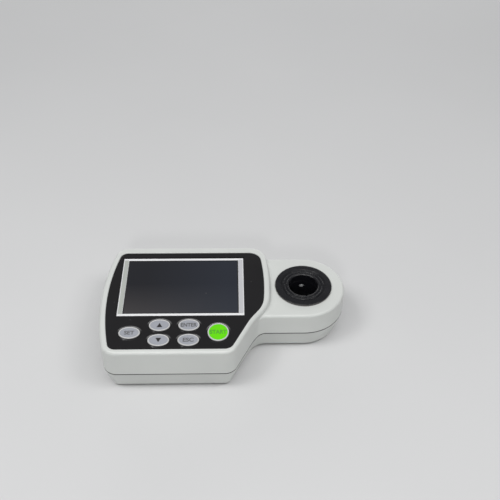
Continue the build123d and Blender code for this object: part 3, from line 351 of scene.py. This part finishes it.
def welded_shell():
    """The upper shell's mesh to read from, with its doubled vertices joined."""
    work = bmesh.new()
    work.from_mesh(frame["nodes"]["upper_shell"].data)
    bmesh.ops.remove_doubles(work, verts=work.verts, dist=SAME_POINT)
    work.verts.index_update()
    return work


def at_level(edge, level):
    """Whether both ends of an edge lie at one height."""
    return all(abs(vertex.co.z - level) <= SAME_LEVEL for vertex in edge.verts)


def highest(edge):
    """The top of the faces that meet at an edge."""
    return max(vertex.co.z for face in edge.link_faces for vertex in face.verts)


def join_rings(work, rings, closed=True):
    """Quads from each ring of vertices to the next, and from the last to the first if closed."""
    for first, second in zip(rings, rings[1:] + rings[:1] if closed else rings[1:]):
        for step in range(len(first)):
            following = (step + 1) % len(first)
            work.faces.new((first[step], second[step], second[following], first[following]))


def slab(outline, low, high, edge=0.0):
    """A flat slab from an outline seen from above, its top edges bevelled by edge."""
    work = bmesh.new()
    bottom = work.faces.new([work.verts.new((x, y, low)) for x, y in outline])
    grown = bmesh.ops.extrude_face_region(work, geom=[bottom])
    top = [item for item in grown["geom"] if isinstance(item, bmesh.types.BMVert)]
    bmesh.ops.translate(work, verts=top, vec=(0, 0, high - low))
    bmesh.ops.recalc_face_normals(work, faces=work.faces)
    if edge:
        upper = [e for e in work.edges if all(abs(v.co.z - high) < TOP_TOLERANCE for v in e.verts)]
        bmesh.ops.bevel(work, geom=upper, offset=edge, segments=2, affect="EDGES", profile=0.5)
    return finished_mesh(work, "slab")


def rectangle(x_low, x_high, y_low, y_high):
    """The four corners of an upright rectangle."""
    return ((x_low, y_low), (x_high, y_low), (x_high, y_high), (x_low, y_high))


# ---------------------------------------------------------------- key legends
INK_THICKNESS = 0.04 * MM
INK_SUNK = 0.02 * MM
LETTER_WEIGHT = 0.03
LEGENDS = {
    "set": ("SET", 8.2 * MM, 4.2 * MM),
    "enter": ("ENTER", 13.2 * MM, 4.2 * MM),
    "esc": ("ESC", 8.8 * MM, 4.4 * MM),
    "start": ("START", 13.6 * MM, 4.6 * MM),
}
ARROWS = {"up": 1, "down": -1}
ARROW_WIDTH = 4.7 * MM
ARROW_HEIGHT = 4.6 * MM


def lettering(words, width, height):
    """Block letters as a mesh, centred on the origin, of that width and height."""
    curve = bpy.data.curves.new("lettering", "FONT")
    curve.body = words
    curve.size = height
    curve.extrude = INK_THICKNESS / 2
    curve.offset = LETTER_WEIGHT * height
    source = in_scene("lettering", curve)
    evaluated = source.evaluated_get(bpy.context.evaluated_depsgraph_get())
    mesh = bpy.data.meshes.new_from_object(evaluated)
    bpy.data.objects.remove(source)
    bpy.data.curves.remove(curve)
    points = [vertex.co.copy() for vertex in mesh.vertices]
    low = Vector([min(point[axis] for point in points) for axis in range(3)])
    high = Vector([max(point[axis] for point in points) for axis in range(3)])
    stretch = Matrix.Diagonal((width / (high.x - low.x), height / (high.y - low.y), 1, 1))
    mesh.transform(stretch @ Matrix.Translation(-(low + high) / 2))
    return mesh


def add_key_legends():
    """The printed word or arrow on each key's face."""
    for name, (words, width, height) in LEGENDS.items():
        low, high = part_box("key_face_" + name)
        mesh = lettering(words, width, height)
        middle_z = high.z - INK_SUNK + INK_THICKNESS / 2
        place = Vector(((low.x + high.x) / 2, (low.y + high.y) / 2, middle_z))
        mesh.transform(Matrix.Translation(place))
        ink = INK_GREEN if name == "start" else INK_GREY
        add_piece("legend_" + name, mesh, ink, name + "_key")
    for name, way in ARROWS.items():
        low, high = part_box("key_face_" + name)
        middle_x, middle_y = (low.x + high.x) / 2, (low.y + high.y) / 2
        base_y, tip_y = middle_y - way * ARROW_HEIGHT / 2, middle_y + way * ARROW_HEIGHT / 2
        outline = (
            (middle_x - way * ARROW_WIDTH / 2, base_y),
            (middle_x + way * ARROW_WIDTH / 2, base_y),
            (middle_x, tip_y),
        )
        mesh = slab(outline, high.z - INK_SUNK, high.z - INK_SUNK + INK_THICKNESS)
        add_piece("legend_" + name, mesh, INK_BLACK, name + "_key")


add_key_legends()


# ---------------------------------------------------------------- display trim
SIDE_BORDER = 4.5 * MM
END_BORDER = 2.3 * MM
TAPE_OUTER_EDGE = 0.7 * MM
TAPE_INNER_EDGE = 0.25 * MM
TAPE_OVERRUN = 0.3 * MM
TAPE_THICKNESS = 0.12 * MM
TAPE_SUNK = 0.05 * MM
TAPE_BEVEL = 0.05 * MM
MASK_WIDTH = 0.9 * MM
MASK_THICKNESS = 0.06 * MM
MASK_SUNK = 0.02 * MM


def add_display_trim():
    """Matte tape down the display frame's sides, and the black mask round its glass."""
    low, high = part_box("display_bezel")
    panel_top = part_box("display_panel")[1].z
    view_x = (low.x + SIDE_BORDER, high.x - SIDE_BORDER)
    view_y = (low.y + END_BORDER, high.y - END_BORDER)

    tape_y = (view_y[0] - TAPE_OVERRUN, view_y[1] + TAPE_OVERRUN)
    tapes = {
        # The left tape carries the painted-shade tone and the right tape the painted-light tone.
        "left": (low.x + TAPE_OUTER_EDGE, view_x[0] - TAPE_INNER_EDGE, TAPE_LEFT_SHADED),
        "right": (view_x[1] + TAPE_INNER_EDGE, high.x - TAPE_OUTER_EDGE, TAPE_RIGHT_LIT),
    }
    for side, (x_low, x_high, tape) in tapes.items():
        outline = rectangle(x_low, x_high, *tape_y)
        mesh = slab(outline, high.z - TAPE_SUNK, high.z + TAPE_THICKNESS, TAPE_BEVEL)
        add_piece("frame_tape_" + side, mesh, tape, "instrument")

    inner_x = (view_x[0] + MASK_WIDTH, view_x[1] - MASK_WIDTH)
    inner_y = (view_y[0] + MASK_WIDTH, view_y[1] - MASK_WIDTH)
    strips = {
        "left": rectangle(view_x[0], inner_x[0], *view_y),
        "right": rectangle(inner_x[1], view_x[1], *view_y),
        "near": rectangle(*inner_x, view_y[0], inner_y[0]),
        "far": rectangle(*inner_x, inner_y[1], view_y[1]),
    }
    for side, outline in strips.items():
        mesh = slab(outline, panel_top - MASK_SUNK, panel_top + MASK_THICKNESS)
        add_piece("screen_mask_" + side, mesh, SCREEN_MASK, "instrument")


add_display_trim()


# ---------------------------------------------------------------- cove between head and lobe
COVE_RUN = 4.2 * MM
COVE_RISE = 2.3 * MM
COVE_SUNK = 0.015 * MM
COVE_ROOT = 0.3 * MM
COVE_STEPS = 8
COVE_TAPER = 7.0 * MM
COVE_END_SIZE = 0.12
# A face is a wall if its normal's upward part is under WALL_TILT, and flat if over FLAT_TILT.
WALL_TILT = 0.3
FLAT_TILT = 0.9
WALL_CLIMB = 0.5 * MM


def concave_line():
    """The corner between the lobe's flat top and the head's wall, from the rear to the front."""
    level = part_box("well_collar")[1].z - COLLAR_PROUD
    work = welded_shell()
    points = {}
    for edge in work.edges:
        if not at_level(edge, level) or len(edge.link_faces) != 2:
            continue
        wall_found = min(abs(face.normal.z) for face in edge.link_faces) < WALL_TILT
        flat_found = max(face.normal.z for face in edge.link_faces) > FLAT_TILT
        if wall_found and flat_found and highest(edge) > level + WALL_CLIMB:
            for vertex in edge.verts:
                points[vertex.index] = vertex.co.copy()
    work.free()
    return sorted(points.values(), key=lambda point: -point.y)


def add_cove():
    """A soft concave strip along that corner, fading out at both ends."""
    line = concave_line()
    travelled = [0.0]
    for first, second in zip(line, line[1:]):
        travelled.append(travelled[-1] + (second - first).length)
    work = bmesh.new()
    rings = []
    for number, point in enumerate(line):
        ahead = line[min(number + 1, len(line) - 1)] - line[max(number - 1, 0)]
        outward = Vector((-ahead.y, ahead.x, 0)).normalized()
        share = min(travelled[number], travelled[-1] - travelled[number]) / COVE_TAPER
        fade = math.sin(math.pi / 2 * min(1.0, share))
        size = COVE_END_SIZE + (1 - COVE_END_SIZE) * fade
        corner = point - COVE_SUNK * outward - Vector((0, 0, COVE_SUNK))
        ring = [work.verts.new(corner - COVE_ROOT * outward - Vector((0, 0, COVE_ROOT)))]
        for step in range(COVE_STEPS + 1):
            angle = math.pi / 2 * step / COVE_STEPS
            away = size * COVE_RUN * (1 - math.sin(angle))
            rise = size * COVE_RISE * (1 - math.cos(angle))
            ring.append(work.verts.new(corner + away * outward + Vector((0, 0, rise))))
        rings.append(ring)
    join_rings(work, rings, closed=False)
    work.faces.new(rings[0])
    work.faces.new(reversed(rings[-1]))
    bmesh.ops.recalc_face_normals(work, faces=work.faces)
    mesh = finished_mesh(work, "cove")
    add_piece("head_cove", mesh, SLOT_MATERIALS["housing_grey"], "instrument", smooth=True)


add_cove()


# ---------------------------------------------------------------- dark strip of painted shade in the parting line
BOSS_BELOW_EDGE = 0.35 * MM
SEAT_DEPTH = 2.4 * MM
SHADE_STRIP_HEIGHT = 1.1 * MM
SHADE_STRIP_INNER_INSET = 1.5 * MM
SHADE_STRIP_EDGE_INSET = 0.25 * MM
SHADE_STRIP_FACE_INSET = 0.03 * MM
SHADE_STRIP_EDGE = 0.18 * MM


def outer_loop():
    """The upper shell's lower outside edge, in order, as seen from above."""
    work = welded_shell()
    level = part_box("upper_shell")[0].z + BOSS_BELOW_EDGE
    neighbours = {}
    for edge in work.edges:
        if not at_level(edge, level) or highest(edge) < level + SEAT_DEPTH:
            continue
        first, second = edge.verts
        neighbours.setdefault(first.index, []).append(second.index)
        neighbours.setdefault(second.index, []).append(first.index)
    places = {vertex.index: Vector((vertex.co.x, vertex.co.y, 0)) for vertex in work.verts}
    work.free()
    start = min(neighbours, key=lambda index: places[index].x)
    order = [start]
    while True:
        unseen = [index for index in neighbours[order[-1]] if index not in order]
        if not unseen:
            return [places[index] for index in order]
        order.append(unseen[0])


def add_parting_shade_strip():
    """A black strip lying in the gap between the two shells, painted shade that darkens the
    parting line.
    """
    loop = outer_loop()
    turning = sum(a.x * b.y - b.x * a.y for a, b in zip(loop, loop[1:] + loop[:1]))
    if turning < 0:
        loop.reverse()
    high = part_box("upper_shell")[0].z + BOSS_BELOW_EDGE
    low = high - SHADE_STRIP_HEIGHT
    section = (
        (SHADE_STRIP_INNER_INSET, low),
        (SHADE_STRIP_EDGE_INSET, low),
        (SHADE_STRIP_FACE_INSET, low + SHADE_STRIP_EDGE),
        (SHADE_STRIP_FACE_INSET, high - SHADE_STRIP_EDGE),
        (SHADE_STRIP_EDGE_INSET, high),
        (SHADE_STRIP_INNER_INSET, high),
    )
    work = bmesh.new()
    rings = []
    for number, point in enumerate(loop):
        ahead = (loop[(number + 1) % len(loop)] - loop[number - 1]).normalized()
        inward = Vector((-ahead.y, ahead.x, 0))
        corners = [point + inset * inward + Vector((0, 0, z)) for inset, z in section]
        rings.append([work.verts.new(corner) for corner in corners])
    join_rings(work, rings)
    bmesh.ops.recalc_face_normals(work, faces=work.faces)
    mesh = finished_mesh(work, "shade_strip")
    # The black here is painted shade: the strip darkens the gap between the shells.
    add_piece("parting_shade_strip", mesh, SLOT_MATERIALS["rubber_black"], "instrument")


add_parting_shade_strip()


# ---------------------------------------------------------------- lighter band of painted sheen round the collar
BAND_THICKNESS = 0.05 * MM
BAND_SUNK = 0.2 * MM
BAND_FOOT = 0.06 * MM
BAND_HEIGHT = 1.25 * MM
BAND_STEPS = 144


def add_collar_band():
    """A lighter band round the collar's outer wall, painted sheen where the light falls on it."""
    low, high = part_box("well_collar")
    centre_x, centre_y = (low.x + high.x) / 2, (low.y + high.y) / 2
    radius = (high.x - low.x) / 2
    foot = high.z - COLLAR_PROUD + BAND_FOOT
    section = (
        (radius - BAND_SUNK, foot),
        (radius, foot),
        (radius + BAND_THICKNESS, foot + BAND_THICKNESS),
        (radius + BAND_THICKNESS, foot + BAND_HEIGHT - BAND_THICKNESS),
        (radius, foot + BAND_HEIGHT),
        (radius - BAND_SUNK, foot + BAND_HEIGHT),
    )
    work = bmesh.new()
    rings = []
    for step in range(BAND_STEPS):
        angle = 2 * math.pi * step / BAND_STEPS
        turn_x, turn_y = math.cos(angle), math.sin(angle)
        corners = [(centre_x + r * turn_x, centre_y + r * turn_y, z) for r, z in section]
        rings.append([work.verts.new(corner) for corner in corners])
    join_rings(work, rings)
    bmesh.ops.recalc_face_normals(work, faces=work.faces)
    mesh = finished_mesh(work, "band")
    add_piece("collar_band", mesh, COLLAR_SHEEN_BAND, "instrument", smooth=True)


add_collar_band()


# ---------------------------------------------------------------- camera
CAMERA_PLACE = Vector((5.7, -465.7, 517.1)) * MM
CAMERA_PITCH = math.radians(41.82)
CAMERA_YAW = math.radians(-1.889)
CAMERA_ROLL = math.radians(0.951)
CAMERA_LENS = 56.16
CAMERA_SENSOR = 36.0
CAMERA_NEAREST = 10 * MM


def add_camera():
    """A camera looking down at the instrument from the user's side."""
    data = bpy.data.cameras.new("camera")
    data.lens = CAMERA_LENS
    data.sensor_width = CAMERA_SENSOR
    data.clip_start = CAMERA_NEAREST
    camera = in_scene("camera", data)
    turn = Matrix.Rotation(CAMERA_YAW, 3, "Z")
    forward = turn @ Vector((0, math.cos(CAMERA_PITCH), -math.sin(CAMERA_PITCH)))
    level = turn @ Vector((1, 0, 0))
    above = level.cross(forward)
    right = math.cos(CAMERA_ROLL) * level + math.sin(CAMERA_ROLL) * above
    up = -math.sin(CAMERA_ROLL) * level + math.cos(CAMERA_ROLL) * above
    rotation = Matrix((right, up, -forward)).transposed()
    camera.matrix_world = Matrix.Translation(CAMERA_PLACE) @ rotation.to_4x4()
    bpy.context.scene.camera = camera


add_camera()


# ---------------------------------------------------------------- stage
FLOOR_REACH = 3.0
FLOOR_LEVEL = -0.05 * MM
ROOM_COLOUR = (0.95, 0.97, 1.0, 1)
ROOM_STRENGTH = 0.24
# Each softbox: its place, the height it aims at above the origin, its width and depth, its watts.
SOFTBOXES = {
    "overhead_softbox": ((0.0, -0.55, 1.4), 0.02, (1.2, 0.5), 7.8),
    "left_softbox": ((-0.65, -0.3, 1.25), 0.02, (0.4, 0.5), 6.0),
    "right_softbox": ((0.75, -0.3, 1.25), 0.02, (0.4, 0.5), 4.2),
    "front_softbox": ((-0.15, -1.35, 0.95), 0.02, (0.2, 0.2), 4.0),
    "rear_softbox": ((0.1, 1.5, 0.36), 0.04, (2.2, 0.7), 9.0),
}


def add_floor():
    """A plain pale floor."""
    mesh = bpy.data.meshes.new("floor")
    outline = rectangle(-FLOOR_REACH, FLOOR_REACH, -FLOOR_REACH, FLOOR_REACH)
    mesh.from_pydata([(x, y, FLOOR_LEVEL) for x, y in outline], [], [(0, 1, 2, 3)])
    floor = in_scene("floor", mesh)
    material, shader, place = new_material("floor_paper")
    cloud = noise(material, place, scale=3.0)
    pale = ramp(material, cloud, ((0.3, (0.60, 0.60, 0.60)), (0.7, (0.62, 0.62, 0.62))))
    link(material, pale, shader.inputs["Base Color"])
    shader.inputs["Roughness"].default_value = 0.9
    mesh.materials.append(material)


def add_softbox(name, place, aim_height, size, power):
    """A soft rectangular light that faces the instrument."""
    data = bpy.data.lights.new(name, "AREA")
    data.shape = "RECTANGLE"
    data.size, data.size_y = size
    data.energy = power
    lamp = in_scene(name, data)
    lamp.location = place
    aim = Vector((0, 0, aim_height)) - Vector(place)
    lamp.rotation_euler = aim.to_track_quat("-Z", "Y").to_euler()


def add_room():
    """The faint even light of a pale room."""
    world = bpy.data.worlds.new("soft_room")
    world.use_nodes = True
    background = world.node_tree.nodes["Background"]
    background.inputs["Color"].default_value = ROOM_COLOUR
    background.inputs["Strength"].default_value = ROOM_STRENGTH
    bpy.context.scene.world = world
    bpy.context.scene.view_settings.view_transform = "Standard"


add_floor()
for softbox_name, softbox in SOFTBOXES.items():
    add_softbox(softbox_name, *softbox)
add_room()
